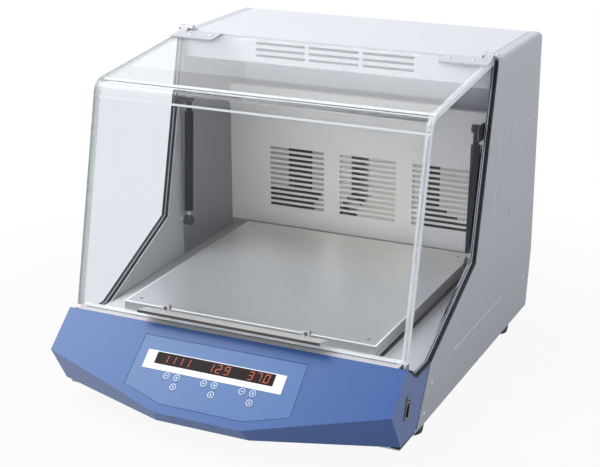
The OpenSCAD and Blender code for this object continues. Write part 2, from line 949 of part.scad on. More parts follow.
module fan_impeller() {
  wheel_y = louvre_y + 24;
  color([0.3, 0.31, 0.33]) {
    bar_y(0, fan_h, wheel_y + 26, wheel_y + 28, fan_d);
    bar_y(0, fan_h, wheel_y + 8, wheel_y + 27, 26);
    bar_y(0, fan_h, wheel_y + 27, liner_rear_y + 18, 8);
    for (i = [0 : fan_blades - 1])
      translate([0, 0, fan_h])
        rotate([0, i * 360 / fan_blades, 0])
          translate([fan_d / 2 - 20, wheel_y + 1, 0])
            rotate([0, 30, 0])
              cube([19, 26, 1.4]);
    translate([0, wheel_y, fan_h])
      rotate([-90, 0, 0])
        difference() {
          cylinder(h = 2, d = fan_d);
          translate([0, 0, -1])
            cylinder(h = 4, d = fan_d - 42);
        }
  }
}

// Tubular heater bent round the fan wheel, with two legs through the rear
module heater_coil() {
  ring_r = fan_d / 2 + 18;
  ring_y = louvre_y + 34;
  leg_x = 20;
  leg_a = asin(leg_x / ring_r);
  color([0.5, 0.42, 0.38]) {
    translate([0, ring_y, fan_h])
      rotate([90, 0, 0])
        rotate(leg_a - 90)
          rotate_extrude(angle = 360 - 2 * leg_a)
            translate([ring_r, 0])
              circle(d = heater_d);
    for (s = [-1, 1])
      bar_y(s * leg_x, fan_h - ring_r * cos(leg_a), ring_y - heater_d / 2, liner_rear_y - sheet_t, heater_d);
  }
}

// Electrical parts in the base

supply_gap = 75;
supply_w = 130;
supply_d = 96;
supply_h = 40;
supply_x = supply_gap - half_w;
supply_y = drive_y + 80;
supply_rim = 10;
supply_slot_w = 5;
supply_slot_pitch = 12;
supply_slot_h = 2;

module power_supply() {
  color([0.7, 0.71, 0.7])
    difference() {
      box([supply_x, supply_y, pan_top], [supply_x + supply_w, supply_y + supply_d, pan_top + supply_h]);
      for (x = [supply_x + supply_rim : supply_slot_pitch : supply_x + supply_w - supply_rim])
        box([x, supply_y + supply_rim, pan_top + supply_h - supply_slot_h],
          [x + supply_slot_w, supply_y + supply_d - supply_rim, pan_top + supply_h + 1]);
    }
}

// Places children on the leaning foot of the rear panel, with Z pointing out
module on_heel(at) {
  lean = atan2(heel_in, heel_h - toe_h);
  translate([at[0], heel_y + (at[1] - toe_h) * heel_in / (heel_h - toe_h), at[1]])
    rotate([-90 - lean, 0, 0])
      children();
}

module mains_inlet() {
  color([0.1, 0.1, 0.11])
    on_heel(inlet_at)
      difference() {
        union() {
          translate([-24, -15, 0])
            cube([48, 30, 2.5]);
          translate([-13.6, -10, -22])
            cube([27.2, 20, 22]);
        }
        difference() {
          translate([-12, -8, -15])
            cube([24, 16, 20]);
          for (x = [-7, 0, 7])
            translate([x - 1, -2 + abs(x) / 7 * 1.5 - 1, -16])
              cube([2, 4, 14]);
        }
      }
}

// Console

side_bottom_y = corner_y + side_undercut;
facet_p = [console_half, corner_y, corner_z];
facet_q = [facet_w / 2, tip_y, tip_h];
facet_r = [console_half, side_bottom_y, skirt_h];
facet_n = unit(cross(facet_q - facet_p, facet_r - facet_p));
console_path = [[sill_y, console_h], [tip_y, tip_h], [tip_y + undercut, skirt_h]];
function at_z(p, d, z) = p + d * (z - p[1]) / d[1];
function at_y(p, d, y) = p + d * (y - p[0]) / d[0];

// Solid shape of the console, drawn in by an inset and open behind by the given reach
module console_block(inset, reach) {
  p = shifted(console_path, inset);
  low = skirt_h - (inset > 0 ? 20 : 0);
  difference() {
    along_x(-console_half + inset, console_half - inset)
      polygon([p[0], p[1], at_z(p[1], seg(console_path, 1), low),
        [sill_y + reach, low], [sill_y + reach, p[0][1]]]);
    for (s = [0, 1])
      mirror([s, 0, 0])
        translate(facet_p - facet_n * inset)
          rotate(a = acos(facet_n[2]), v = cross([0, 0, 1], facet_n))
            translate([-body_w / 2, -body_w / 2, 0])
              cube(body_w);
  }
}

// Places children on the sloping face of the console, Y up the slope and Z outwards
module on_slope() {
  translate([0, sill_y, console_h])
    rotate([slope_a, 0, 0])
      children();
}

pad_back = 21;
pad_side = slope_len - 36;
pad_front = slope_len - 15;
pad_tip = facet_w / 2 - 2;
function pad_points(m) = [[-pad_w - m, m - pad_back], [-pad_w - 2 - m, -pad_side - m * 0.4],
  [-pad_tip - m * 0.2, -pad_front - m], [pad_tip + m * 0.2, -pad_front - m],
  [pad_w + 2 + m, -pad_side - m * 0.4], [pad_w + m, m - pad_back]];

key_pitch = 64.5;
key_gap = 18;
key_back = 82.4;
key_low = 98;
function key_at(group, i) = [6 + group * key_pitch - (i == 0 ? key_gap : 0), -(i == 2 ? key_low : key_back)];
key_places = [for (g = [-1 : 1]) for (i = [0 : 2]) key_at(g, i)];
stem_d = 6;
flange_d = key_d + 3;
pocket_t = 1.1 + key_travel;
board_z = -12;

switch_a = 21;
switch_w = 17;
switch_open = switch_len - 10.4;

// Places children on the right cheek, X across the switch, Y up along it and Z outwards
module in_switch() {
  translate([console_half, sill_y + 3, 80])
    rotate([-switch_a, 0, 0])
      rotate([90, 0, 90])
        children();
}

module console_casing() {
  toe_front = toe_y + (skirt_h - toe_h) * toe_run / (cheek_h - toe_h) - near_gap;
  cheek = [[sill_y - 6, console_h - 12], [sill_y, console_h], [lip_y, cheek_h],
    [cheek_y - near_gap, cheek_h], [toe_front, skirt_h], [sill_y - 6, skirt_h]];
  color([0.35, 0.5, 0.75])
    difference() {
      union() {
        difference() {
          console_block(0, 0);
          console_block(casing_t, 30);
        }
        for (x = [-console_half, console_half - casing_t])
          along_x(x, x + casing_t)
            polygon(cheek);
      }
      on_slope() {
        translate([0, 0, -pad_t])
          linear_extrude(5)
            polygon(pad_points(0.8));
        for (p = key_places)
          translate([p[0], p[1], 0]) {
            translate([0, 0, -pad_t - pocket_t])
              cylinder(h = pocket_t + 1, d = flange_d + 2 * slide_gap);
            translate([0, 0, -10])
              cylinder(h = 11, d = stem_d + 2 * slide_gap);
          }
        translate([display_x - 85, -64, -10])
          cube([170, 16, 12]);
      }
      in_switch()
        translate([-switch_w / 2 + 1.4, -switch_len / 2 + 2.2, -30])
          cube([switch_w - 2.8, switch_len - 4.4, 40]);
    }
}

// Keypad sheet that lies flush in the console
module keypad_panel() {
  color([0.42, 0.56, 0.8])
    on_slope()
      difference() {
        translate([0, 0, -pad_t])
          linear_extrude(pad_t)
            polygon(pad_points(0));
        for (p = key_places)
          translate([p[0], p[1], -pad_t - 1])
            cylinder(h = pad_t + 2, d = key_d + 2 * slide_gap);
        translate([display_x - 85, -64, -pad_t - 1])
          cube([170, 16, pad_t + 2]);
      }
}

display_x = -4.7;
display_top = -44.5;
display_h = 31;
window_w = display_w - 34;
window_h = 20;

module display_frame() {
  color([0.95, 0.95, 0.95])
    on_slope()
      translate([display_x, 0, 0])
        difference() {
          translate([-display_w / 2, display_top - display_h, 0])
            cube([display_w, display_h, 0.6]);
          translate([-window_w / 2, display_top - window_h - 1.3, -1])
            cube([window_w, window_h, 3]);
        }
}

// Smoked window over the numerals
module display_window() {
  color([0.1, 0.04, 0.04])
    on_slope()
      translate([display_x - window_w / 2 + 0.1, display_top - window_h - 1.2, 0])
        cube([window_w - 0.2, window_h - 0.2, 0.4]);
}

module key(group, i) {
  at = key_at(group, i);
  color([0.5, 0.62, 0.84])
    on_slope()
      translate([at[0], at[1], 0]) {
        translate([0, 0, -pad_t - 0.1])
          cylinder(h = pad_t + 0.7, d = key_d);
        translate([0, 0, -pad_t - 0.6])
          cylinder(h = 0.5, d = flange_d);
        translate([0, 0, board_z + 2.1 + key_travel])
          cylinder(h = -pad_t - 0.6 - board_z - 2.1 - key_travel, d = stem_d);
      }
}

module time_down_key() {
  key(-1, 0);
}

module time_up_key() {
  key(-1, 1);
}

module time_start_key() {
  key(-1, 2);
}

module speed_down_key() {
  key(0, 0);
}

module speed_up_key() {
  key(0, 1);
}

module speed_start_key() {
  key(0, 2);
}

module heat_down_key() {
  key(1, 0);
}

module heat_up_key() {
  key(1, 1);
}

module heat_start_key() {
  key(1, 2);
}

board_w = 250;
board_d = 80;
board_t = 1.6;
board_edge = 28;
board_post_x = 120;
board_posts_y = [-35, -100];
lamp_row_w = 166;
lamp_row_d = 12;
lamp_row_y = -62;

// Board under the slope, with a switch below every key and the display block
module control_board() {
  color([0.1, 0.35, 0.2])
    on_slope() {
      translate([-board_w / 2, -board_edge - board_d, board_z - board_t])
        cube([board_w, board_d, board_t]);
      for (p = key_places)
        translate([p[0], p[1], board_z])
          cylinder(h = 2, d = stem_d);
      translate([display_x - lamp_row_w / 2, lamp_row_y, board_z])
        cube([lamp_row_w, lamp_row_d, -board_z - 0.3]);
      for (x = [-board_post_x, board_post_x])
        for (y = board_posts_y)
          translate([x, y, board_z])
            cylinder(h = -board_z - casing_t, d = 5);
    }
}

pivot_z = -4.1;
rock_a = 7;

module switch_housing() {
  color([0.06, 0.06, 0.07])
    in_switch()
      difference() {
        union() {
          translate([-switch_w / 2, -switch_len / 2, 0])
            cube([switch_w, switch_len, 0.9]);
          translate([-switch_w / 2 + 1.6, -switch_len / 2 + 2.5, -18])
            cube([switch_w - 3.2, switch_len - 5, 18]);
        }
        translate([-5.5, -switch_open / 2, -10])
          cube([11, switch_open, 12]);
        translate([-6.6, 0, pivot_z])
          rotate([0, 90, 0])
            cylinder(h = 13.2, d = 3 + 2 * run_gap);
      }
}

module switch_rocker() {
  end = switch_open / 2 - 0.8;
  color([0.1, 0.1, 0.11])
    in_switch()
      translate([0, 0, pivot_z])
        rotate([rock_a, 0, 0]) {
          along_x(-5.2, 5.2)
            polygon([[-end, 3.6], [0, 2.9], [end, 3.6], [end - 1, -1], [0, -5], [1 - end, -1]]);
          bar_x(-6.4, 6.4, 0, 0, 3);
        }
}

// Hood

hood_path = [[hood_rear_y, body_h], [hood_top_y, hood_front_h], [hood_bottom_y, hood_bottom_z]];
bend_at = shift_at(hood_path, 1, bend_r);
top_n = left_of(seg(hood_path, 0));
front_n = left_of(seg(hood_path, 1));
// Ends of the bend at a depth below the outer face
function bend_start(d) = bend_at - top_n * (bend_r - d);
function bend_end(d) = bend_at - front_n * (bend_r - d);
function top_end(d) = at_y(bend_start(d), seg(hood_path, 0), hood_rear_y);
function front_end(d) = at_z(bend_end(d), seg(hood_path, 1), hood_bottom_z);
grip_screw_x = grip_w / 2 - 35;
grip_screw_z = 19.5;
grip_hole_d = 4.8;
grip_t = 2.5;
rail_low = 6;
rail_top = 15.5;
lip_low = 10.5;
ear_half = 6;
leaf_screws = [hood_half - leaf_w + 12, hood_half - 28];

// Places children on the outer face of the hood's top, Y towards the hinge and Z outwards
module on_hood_top() {
  translate([0, hood_rear_y, body_h])
    rotate([hood_slope, 0, 0])
      children();
}

// Places children on the outer face of the hood's front, Z up the face and -Y outwards
module on_hood_front() {
  translate([0, hood_bottom_y, hood_bottom_z])
    rotate([-front_lean, 0, 0])
      children();
}

module hood_shell() {
  color([0.8, 0.88, 0.92, 0.4])
    difference() {
      along_x(-hood_half, hood_half)
        difference() {
          union() {
            polygon([top_end(0), bend_start(0), bend_end(0), front_end(0), front_end(hood_t), top_end(hood_t)]);
            translate(bend_at)
              circle(bend_r);
          }
          polygon([at_y(bend_start(hood_t), seg(hood_path, 0), front_y + 1), bend_start(hood_t),
            bend_end(hood_t), at_z(bend_end(hood_t), seg(hood_path, 1), hood_bottom_z - 1)]);
          translate(bend_at)
            circle(bend_r - hood_t);
        }
      on_hood_front()
        for (x = [-grip_screw_x, grip_screw_x])
          bar_y(x, grip_screw_z, -10, 20, grip_hole_d);
      for (s = [-1, 1])
        for (x = leaf_screws)
          on_hood_top()
            translate([s * x, -leaf_d / 2 - 3, -20])
              cylinder(h = 30, d = 4);
      for (s = [0, 1])
        mirror([s, 0, 0])
          along_x(hood_half - hood_t, hood_half + 1)
            polygon(band(closing_line, 9, -seal_t - slide_gap));
    }
}

// Flat side of the hood, inside the bent sheet and in front of the seal
module hood_side() {
  gap = seal_t + slide_gap;
  edge = shifted(closing_line, -gap);
  last = edge[len(edge) - 1];
  color([0.8, 0.88, 0.92, 0.4])
    along_x(hood_half - hood_t, hood_half)
      intersection() {
        union() {
          polygon([top_end(hood_t), bend_start(hood_t), bend_end(hood_t), front_end(hood_t),
            [front_end(hood_t)[0] + 5, 60], [rear_y, 60]]);
          translate(bend_at)
            circle(bend_r - hood_t);
        }
        polygon(concat(edge, [[last[0] - 60, last[1] + 60], [tip_y, body_h + 90], [front_y - 5, body_h + 90]]));
      }
}

module hood_right_side() {
  hood_side();
}

module hood_left_side() {
  mirror([1, 0, 0])
    hood_side();
}

// Grip rail: a low back with two screw ears, a ledge and a lip turned down
module hood_handle() {
  half = grip_w / 2;
  color([0.78, 0.79, 0.8])
    on_hood_front()
      difference() {
        union() {
          box([-half, -grip_t, rail_low], [half, 0, rail_top]);
          box([-half, -grip_out, rail_top - grip_t], [half, 0, rail_top]);
          box([-half, -grip_out, lip_low], [half, grip_t - grip_out, rail_top]);
          for (x = [-grip_screw_x, grip_screw_x])
            box([x - ear_half, -grip_t, rail_low], [x + ear_half, 0, grip_screw_z + ear_half - 1]);
        }
        for (x = [-grip_screw_x, grip_screw_x])
          bar_y(x, grip_screw_z, -10, 5, grip_hole_d);
      }
}

module hood_screws() {
  color([0.8, 0.8, 0.82]) {
    on_hood_front()
      for (x = [-grip_screw_x, grip_screw_x]) {
        translate([x, -grip_t, grip_screw_z])
          rotate([90, 0, 0])
            screw(6.5, 4.5, hood_t + grip_t);
        bar_y(x, grip_screw_z, hood_t, hood_t + 4, 8);
      }
    for (s = [-1, 1])
      for (x = leaf_screws)
        on_hood_top()
          translate([s * x, -leaf_d / 2 - 3, 2.5])
            screw(7, 3.7, hood_t + 2);
  }
}

// Hinges

block_w = 26;
block_in = half_w - block_w - 2;
ear_w = 6;

// Two eared blocks on the housing with their pins
module hinge_blocks() {
  color([0.85, 0.86, 0.88])
    for (s = [0, 1])
      mirror([s, 0, 0]) {
        box([block_in, hinge_y + knuckle_d / 2 + near_gap, body_h],
          [block_in + block_w, front_y + 17, body_h + 2.5]);
        for (x = [block_in, block_in + block_w - ear_w]) {
          bar_x(x, x + ear_w, hinge_y, hinge_z, knuckle_d);
          box([x, hinge_y, hinge_z - knuckle_d / 2], [x + ear_w, front_y + 8, hinge_z + knuckle_d / 2]);
          box([x, front_y + 3, body_h + 1], [x + ear_w, front_y + 8, hinge_z]);
        }
        bar_x(block_in + 1, block_in + block_w - 1, hinge_y, hinge_z, pin_d);
      }
}

// Leaves screwed to the hood, each with one knuckle between the ears
module hinge_leaves() {
  knuckle_x0 = block_in + ear_w + near_gap;
  knuckle_x1 = block_in + block_w - ear_w - near_gap;
  color([0.85, 0.86, 0.88])
    for (s = [0, 1])
      mirror([s, 0, 0])
        difference() {
          union() {
            on_hood_top()
              box([hood_half - leaf_w, -leaf_d - 3, 0], [hood_half, -3, 2.5]);
            bar_x(knuckle_x0, knuckle_x1, hinge_y, hinge_z, knuckle_d);
            along_x(knuckle_x0, knuckle_x1)
              polygon([[hood_rear_y - 14, body_h - 0.6], [hood_rear_y - 1, body_h + 0.5],
                [hinge_y, hinge_z - knuckle_d / 2], [hinge_y, hinge_z + knuckle_d / 2],
                [hood_rear_y - 14, body_h + 1.2]]);
          }
          bar_x(knuckle_x0 - 1, knuckle_x1 + 1, hinge_y, hinge_z, pin_d + 2 * run_gap);
          for (x = leaf_screws)
            on_hood_top()
              translate([x, -leaf_d / 2 - 3, -5])
                cylinder(h = 20, d = 4);
        }
}

// Gas struts

// Places children at the strut's lower pivot with Z along the strut
module in_strut() {
  translate([0, strut_low[0], strut_low[1]])
    rotate([-strut_lean, 0, 0])
      children();
}

rod_top = barrel_z0 + guide_t + strut_stroke + 4 + piston_t;

// Rod with its piston above and its ball socket below, open to the wall on one side
module strut_rod(x, side) {
  color([0.6, 0.6, 0.63])
    in_strut()
      difference() {
        union() {
          bar_x(x - 7, x + 7, 0, 0, 16);
          translate([x, 0, 0])
            cylinder(h = 13, d = 14);
          translate([x, 0, 10])
            cylinder(h = rod_top - 10, d = rod_d);
          translate([x, 0, rod_top - piston_t])
            cylinder(h = piston_t, d = barrel_bore - 2 * run_gap);
        }
        bar_x(x + side * 0.85 - 7.15, x + side * 0.85 + 7.15, 0, 0, 8 + 2 * run_gap);
      }
}

// Pressure cylinder with its guide at the bottom and its eye on top
module strut_cylinder(x) {
  color([0.06, 0.06, 0.07])
    in_strut() {
      translate([x, 0, 0])
        difference() {
          union() {
            translate([0, 0, barrel_z0])
              cylinder(h = barrel_z1 - barrel_z0, d = strut_d);
            translate([0, 0, barrel_z1])
              cylinder(h = strut_len - 4 - barrel_z1, d = 10);
          }
          translate([0, 0, barrel_z0 + guide_t])
            cylinder(h = barrel_z1 - 6 - barrel_z0 - guide_t, d = barrel_bore);
          translate([0, 0, barrel_z0 - 1])
            cylinder(h = guide_t + 2, d = rod_d + 2 * run_gap);
        }
      bar_x(x - 7, x + 7, 0, strut_len, 14);
    }
}

module right_strut_rod() {
  strut_rod(strut_x, 1);
}

module right_strut_cylinder() {
  strut_cylinder(strut_x);
}

module left_strut_rod() {
  strut_rod(-strut_x, -1);
}

module left_strut_cylinder() {
  strut_cylinder(-strut_x);
}

// Plates on the hood's sides whose studs end just short of the struts' upper sockets
module strut_brackets() {
  inner = hood_half - hood_t;
  color([0.3, 0.3, 0.32])
    for (s = [0, 1])
      mirror([s, 0, 0]) {
        box([inner - 3, strut_top[0] - 31, strut_top[1] - 14], [inner, strut_top[0] + 8, strut_top[1] + 12]);
        bar_x(strut_x + 7 + slide_gap, inner - 3, strut_top[0], strut_top[1], 8);
      }
}

base_pan();
rubber_feet();
left_side_panel();
right_side_panel();
top_cover();
rear_panel();
left_liner();
right_liner();
upper_liner();
header_panel();
louvre_panel();
chamber_floor();
hood_seals();
drive_frame();
bearing_housings();
shaft_bearings();
drive_shaft();
drive_pulley();
drive_motor();
motor_pulley();
drive_belt();
idler_crank(idlers[0]);  // idler_crank_1
idler_crank(idlers[1]);  // idler_crank_2
idler_crank(idlers[2]);  // idler_crank_3
table_carrier();
table_plate();
fan_motor();
fan_impeller();
heater_coil();
power_supply();
mains_inlet();
console_casing();
control_board();
keypad_panel();
display_frame();
display_window();
time_down_key();
time_up_key();
time_start_key();
speed_down_key();
speed_up_key();
speed_start_key();
heat_down_key();
heat_up_key();
heat_start_key();
switch_housing();
switch_rocker();
hood_shell();
hood_left_side();
hood_right_side();
hood_handle();
hood_screws();
hinge_blocks();
hinge_leaves();
left_strut_cylinder();
left_strut_rod();
right_strut_cylinder();
right_strut_rod();
strut_brackets();
housing_screws();
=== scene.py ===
# %% [markdown]
# # An incubated benchtop shaker
# The frame holds every solid of the machine in metres, already in its place.
# This lesson dresses those solids with finishes, adds the small printed and lit
# details that a maker draws on top, and sets up a calm studio around them.

# %% Load the frame
import math

import bmesh
import bpy
from mathutils import Matrix, Vector


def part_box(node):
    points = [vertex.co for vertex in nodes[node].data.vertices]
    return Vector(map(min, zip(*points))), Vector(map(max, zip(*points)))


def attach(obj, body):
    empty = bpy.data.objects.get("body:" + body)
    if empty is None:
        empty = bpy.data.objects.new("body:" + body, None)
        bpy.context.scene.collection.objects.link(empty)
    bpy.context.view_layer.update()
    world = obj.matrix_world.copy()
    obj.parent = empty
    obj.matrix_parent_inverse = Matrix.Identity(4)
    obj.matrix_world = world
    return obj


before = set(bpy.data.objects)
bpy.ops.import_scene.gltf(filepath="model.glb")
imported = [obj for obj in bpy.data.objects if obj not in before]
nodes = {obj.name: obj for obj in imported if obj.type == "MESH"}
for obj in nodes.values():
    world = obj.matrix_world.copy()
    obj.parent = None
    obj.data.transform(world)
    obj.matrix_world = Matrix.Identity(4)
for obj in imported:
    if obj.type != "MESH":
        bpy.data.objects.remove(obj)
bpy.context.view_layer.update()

# %% [markdown]
# ## The camera
# A product photo of this kind is taken from the right and a little above with a
# long lens, so the uprights stay nearly parallel. The three angles below turn
# into the camera's own right, up and back directions. The lens is written as
# its focal length in pixels of a picture 600 wide, which is what a fit gives.

# %% Camera
azimuth, pitch, roll = (math.radians(a) for a in (25.3, 19.3, -0.2))
target = Vector((0.0, -0.015, 0.2287))
distance = 2.3522
focal_px, picture_px, sensor_w = 1425.4, 600, 36
back = Vector((math.sin(azimuth) * math.cos(pitch), -math.cos(azimuth) * math.cos(pitch), math.sin(pitch)))
level = Vector((math.cos(azimuth), math.sin(azimuth), 0.0))
rise = back.cross(level)
right = level * math.cos(roll) + rise * math.sin(roll)
up = rise * math.cos(roll) - level * math.sin(roll)
facing = Matrix((right, up, back)).transposed().to_4x4()
camera_data = bpy.data.cameras.new("studio_camera")
camera_data.lens = focal_px / picture_px * sensor_w
camera_data.sensor_width = sensor_w
camera_data.clip_start = 0.05
camera = bpy.data.objects.new("studio_camera", camera_data)
camera.matrix_world = Matrix.Translation(target + back * distance) @ facing
bpy.context.collection.objects.link(camera)
bpy.context.scene.camera = camera
bpy.context.scene.view_settings.view_transform = "Standard"
print("camera at", [round(v, 3) for v in camera.matrix_world.translation])

# %% [markdown]
# ## Finishes as small recipes
# A finish is a graph of nodes. Written as sums it is easier to read, so one
# class stands for a value that flows through the graph and knows the usual
# signs, and another adds any other node in a single call.

# %% Value and recipe
class Flow:
    """A value on its way through the nodes of one finish."""

    def __init__(self, recipe, socket):
        self.recipe, self.socket = recipe, socket

    def sum_with(self, operation, other, swapped=False):
        first, second = (other, self) if swapped else (self, other)
        return self.recipe.node("ShaderNodeMath", {0: first, 1: second}, operation=operation)

    def larger(self, other):
        return self.sum_with("MAXIMUM", other)

    def size(self):
        return self.recipe.node("ShaderNodeMath", {0: self}, operation="ABSOLUTE")

    def __add__(self, other):
        return self.sum_with("ADD", other)

    def __sub__(self, other):
        return self.sum_with("SUBTRACT", other)

    def __mul__(self, other):
        return self.sum_with("MULTIPLY", other)

    def __gt__(self, other):
        return self.sum_with("GREATER_THAN", other)

    def __lt__(self, other):
        return self.sum_with("LESS_THAN", other)

    def __radd__(self, other):
        return self.sum_with("ADD", other, True)

    def __rsub__(self, other):
        return self.sum_with("SUBTRACT", other, True)


class Recipe:
    """One finish: a material whose nodes are added by a single method."""

    def __init__(self, name):
        self.material = bpy.data.materials.new(name)
        self.material.use_nodes = True
        self.tree = self.material.node_tree
        self.tree.nodes.clear()
        self.place = self.node("ShaderNodeTexCoord", out="Object")

    def node(self, kind, inputs=None, out=0, **settings):
        new = self.tree.nodes.new(kind)
        for key, value in settings.items():
            setattr(new, key, value)
        for key, value in (inputs or {}).items():
            if isinstance(value, Flow):
                self.tree.links.new(value.socket, new.inputs[key])
            else:
                new.inputs[key].default_value = value
        return Flow(self, new.outputs[out])

    def noise(self, scale, detail=2.0, stretch=(1, 1, 1)):
        spot = self.node("ShaderNodeMapping", {"Vector": self.place, "Scale": stretch})
        return self.node("ShaderNodeTexNoise", {"Vector": spot, "Scale": scale, "Detail": detail})

    def along(self, axis):
        return self.node("ShaderNodeSeparateXYZ", {0: self.place}, out=axis)

    def ramp(self, value, start, end):
        return self.node("ShaderNodeMapRange", {"Value": value, "From Min": start, "From Max": end})

    def tint(self, first, second, share):
        first, second = (c if isinstance(c, Flow) else (*c, 1) for c in (first, second))
        return self.node("ShaderNodeMix", {0: share, 6: first, 7: second}, out=2, data_type="RGBA")

    def bumps(self, height, depth):
        return self.node("ShaderNodeBump", {"Height": height, "Distance": depth, "Strength": 1.0})

    def shader(self, colour, roughness, **more):
        base = colour if isinstance(colour, Flow) else (*colour, 1)
        wiring = {"Base Color": base, "Roughness": roughness}
        wiring.update({key.replace("_", " "): value for key, value in more.items()})
        return self.node("ShaderNodeBsdfPrincipled", wiring)

    def blend(self, share, first, second):
        return self.node("ShaderNodeMixShader", {0: share, 1: first, 2: second})

    def surface(self, shader):
        end = self.tree.nodes.new("ShaderNodeOutputMaterial")
        self.tree.links.new(shader.socket, end.inputs["Surface"])
        return self.material

    def coat(self, colour, roughness, grain, swing, depth, **more):
        """Ends a solid finish: the grain moves the roughness and the bumps."""
        rough = roughness + (grain - 0.5) * swing
        return self.surface(self.shader(colour, rough, Normal=self.bumps(grain, depth), **more))


print("recipes ready")

# %% [markdown]
# ## Paint, metal, rubber and plastic
# Powder coat is never flat: it has a faint orange peel and its colour drifts a
# little over a large panel. Brushed metal has fine scratches in one direction,
# and moulded plastic and rubber have a spark-eroded grain. Three helpers cover
# nearly every piece, and take only what differs from one piece to the next.

# %% Finish helpers
def powder_coat(name, colour, roughness=0.42, drift=0.03, peel=0.00004):
    r = Recipe(name)
    clouds, skin = r.noise(5.0, 3.0), r.noise(620.0, 2.0)
    darker = tuple(c * (1 - drift * 2) for c in colour)
    return r.coat(r.tint(darker, colour, clouds), roughness, skin, 0.12, peel)


def brushed(name, colour, stretch, roughness=0.32, metal=1.0, depth=0.00002):
    r = Recipe(name)
    lines, clouds = r.noise(60.0, 4.0, stretch), r.noise(6.0, 2.0)
    darker = tuple(c * 0.86 for c in colour)
    body = r.tint(darker, colour, lines * 0.6 + clouds * 0.4)
    return r.coat(body, roughness, lines, 0.16, depth, Metallic=metal)


def moulded(name, colour, roughness=0.4, grain=900.0, depth=0.00003, shade=0.92, gloss=0.5):
    r = Recipe(name)
    skin, clouds = r.noise(grain, 1.0), r.noise(9.0, 2.0)
    darker = tuple(c * shade for c in colour)
    return r.coat(r.tint(darker, colour, clouds), roughness, skin, 0.14, depth, Specular_IOR_Level=gloss)


def dress(finish, *names):
    for name in names:
        for holder in nodes[name].material_slots:
            holder.material = finish
    print(finish.name, "on", ", ".join(names))


# %% [markdown]
# ## The housing
# Bent sheet steel in a light blue-grey powder coat. The cover and the header
# that carry the hinges are nearly white, the chamber's skin is a warmer grey.
# The side panels have pressed grooves, whose floors are painted lighter, a
# painted highlight: a spot belongs to a groove when it lies a little deeper than
# the panel's skin. The panels' colour is painted darker toward the foot, a
# painted shade, and paler toward the top, a painted highlight.
# The roof's sheet runs down behind the louvres, where it is painted near black
# as painted shade, as far up as the louvred wall hides it.

# %% Housing finishes
def side_coat():
    r = Recipe("side_coat")
    skin_x, groove_start, groove_end = 0.29, 0.0004, 0.0012
    low_groups, high_groups = 0.25, 0.48
    foot_shade_span, top_highlight_span = (0.22, 0.03), (0.28, 0.52)
    clouds, skin = r.noise(5.0, 3.0), r.noise(620.0, 2.0)
    depth, z = skin_x - r.along(0).size(), r.along(2)
    groove = (depth > groove_start) * (depth < groove_end) * (z < high_groups)
    plain = r.tint((0.405, 0.425, 0.48), (0.435, 0.455, 0.51), clouds)
    # painted shade: darker toward the foot; painted highlight: paler toward the top
    plain = r.tint(plain, (0.29, 0.305, 0.355), r.ramp(z, *foot_shade_span) * 0.7)
    plain = r.tint(plain, (0.50, 0.52, 0.585), r.ramp(z, *top_highlight_span) * 0.8)
    # painted highlight: groove floors are painted lighter, the upper grooves most
    painted_groove_highlight = r.tint((0.62, 0.64, 0.70), (0.80, 0.81, 0.85), z > low_groups)
    return r.coat(r.tint(plain, painted_groove_highlight, groove), 0.40, skin, 0.12, 0.00003)


def roof_coat():
    r = Recipe("roof_coat")
    duct_y, hidden_below = 0.285, 0.012
    duct_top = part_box("louvre_panel")[1][2] - hidden_below
    clouds, skin = r.noise(5.0, 3.0), r.noise(620.0, 2.0)
    paint = r.tint((0.70, 0.705, 0.765), (0.73, 0.735, 0.795), clouds)
    painted_duct_shade = (r.along(1) > duct_y) * (r.along(2) < duct_top)
    # painted shade: the duct's skin below the louvres' top is painted near black
    body = r.tint(paint, (0.018, 0.018, 0.02), painted_duct_shade)
    return r.coat(body, 0.42, skin, 0.12, 0.000006)


dress(side_coat(), "left_side_panel", "right_side_panel")
dress(roof_coat(), "upper_liner")
dress(powder_coat("rear_coat", (0.435, 0.455, 0.51)), "rear_panel")
dress(powder_coat("cover_coat", (0.62, 0.635, 0.675), 0.36), "top_cover")
dress(powder_coat("header_coat", (0.53, 0.545, 0.60), 0.36), "header_panel")
dress(powder_coat("louvre_coat", (0.79, 0.775, 0.755), 0.42, 0.02, 0.000006), "louvre_panel")
dress(brushed("pan_zinc", (0.45, 0.46, 0.48), (1, 8, 8), 0.45), "base_pan", "drive_frame", "power_supply")

# %% [markdown]
# ## The chamber's side walls
# Each side wall is a plain steel skin with a painted plate on its front half,
# where the strut pulls. The bare steel behind the plate is a real change of
# finish, and its darker tone is painted shade. Both are one solid, so the finish
# changes at the plate's rear edge, which an object coordinate finds exactly.

# %% Side wall finish
def side_wall():
    r = Recipe("side_wall")
    plate_edge = 0.0845
    brush, clouds = r.noise(70.0, 3.0, (1, 1, 14)), r.noise(4.0, 2.0)
    # the bare steel is a real change of finish; its darker tone is painted shade
    bare_and_shaded = r.along(1) > plate_edge
    steel = r.tint((0.25, 0.25, 0.265), (0.33, 0.33, 0.345), brush * 0.6 + clouds * 0.4)
    paint = r.tint((0.42, 0.44, 0.44), (0.45, 0.47, 0.47), clouds)
    return r.coat(r.tint(paint, steel, bare_and_shaded), 0.40, brush, 0.12, 0.000006, Metallic=bare_and_shaded * 0.5)


dress(side_wall(), "left_liner", "right_liner")

# %% [markdown]
# ## The table and the deck below it
# A plate of brushed stainless steel with a turned-down apron. The scratches run
# from side to side, and its far half is painted warmer, a painted reflection of
# the rear wall. Its cut edges carry a painted highlight, brightest in front.
# The deck is painted near black around the table, a painted shadow below the
# apron, and the deck and the table's right face are painted dimmer toward the
# chamber's rear, a painted shade.

# %% Table and deck finishes
table_low, table_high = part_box("table_plate")


